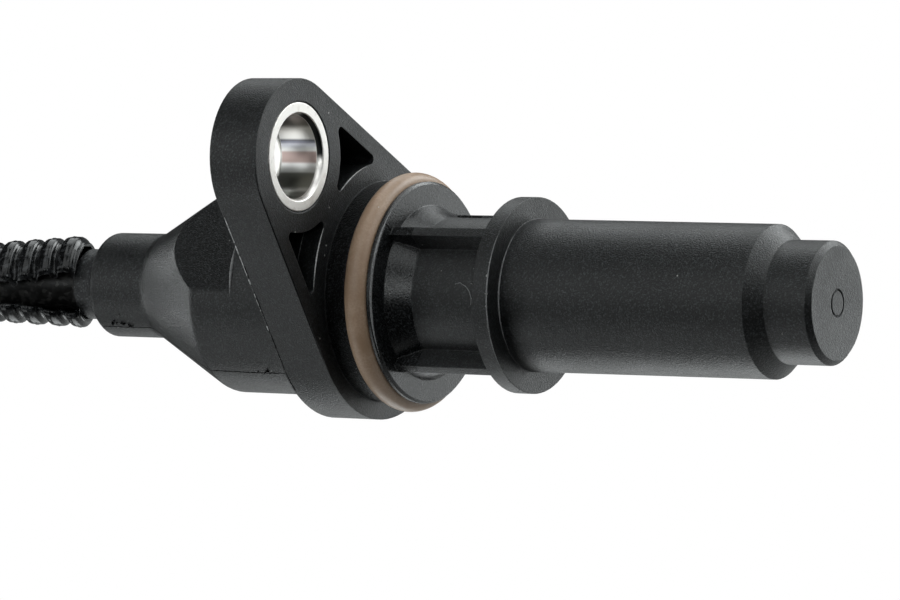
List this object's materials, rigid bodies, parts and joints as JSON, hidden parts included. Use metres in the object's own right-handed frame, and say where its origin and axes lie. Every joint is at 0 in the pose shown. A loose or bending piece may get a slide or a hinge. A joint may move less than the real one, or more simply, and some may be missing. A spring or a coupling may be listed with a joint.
{
  "type": "crankshaft position sensor",
  "caption": "Crankshaft position sensor: moulded black probe with a bolt flange, steel bush, brown O-ring, ribbed neck and a lead in split conduit that ends in a sealed plug.",
  "frame": {"origin": "on the probe's axis, in the plane of the flange's seat face, at the root of the boss that enters the engine's bore", "axes": "+X along the probe to its tip, +Z from the probe's axis through the bolt hole, +Y across the flange"},
  "size_m": [0.1485, 0.025, 0.1748],
  "materials": {
    "moulding": "fine grained black nylon",
    "turned_steel": "turned steel",
    "ring_rubber": "satin brown rubber",
    "soft_iron": "machined iron",
    "magnet": "sintered",
    "bobbin": "moulded",
    "winding": "enamelled copper wire",
    "terminal": "stamped",
    "core": "wire insulation",
    "jacket": "smooth black jacket",
    "conduit": "satin black corrugated conduit",
    "tie": "satin black nylon",
    "plug": "moulded black",
    "seal": "silicone",
    "lock": "moulded",
    "contact": "tinned"
  },
  "bodies": {
    "root": {"sensor_body": "moulding", "bolt_bush": "turned_steel", "o_ring": "ring_rubber", "pole_pin": "soft_iron", "magnet": "magnet", "coil_bobbin": "bobbin", "coil_winding": "winding", "terminal_left": "terminal", "terminal_right": "terminal", "core_wire_left": "core", "core_wire_right": "core", "lead_cable": "jacket", "lead_conduit": "conduit", "cable_tie": "tie", "plug_housing": "plug", "plug_seal": "seal", "wire_seal": "seal", "terminal_lock": "lock", "plug_terminal_left": "contact", "plug_terminal_right": "contact", "plug_wire_left": "core", "plug_wire_right": "core"}
  },
  "joints": []
}
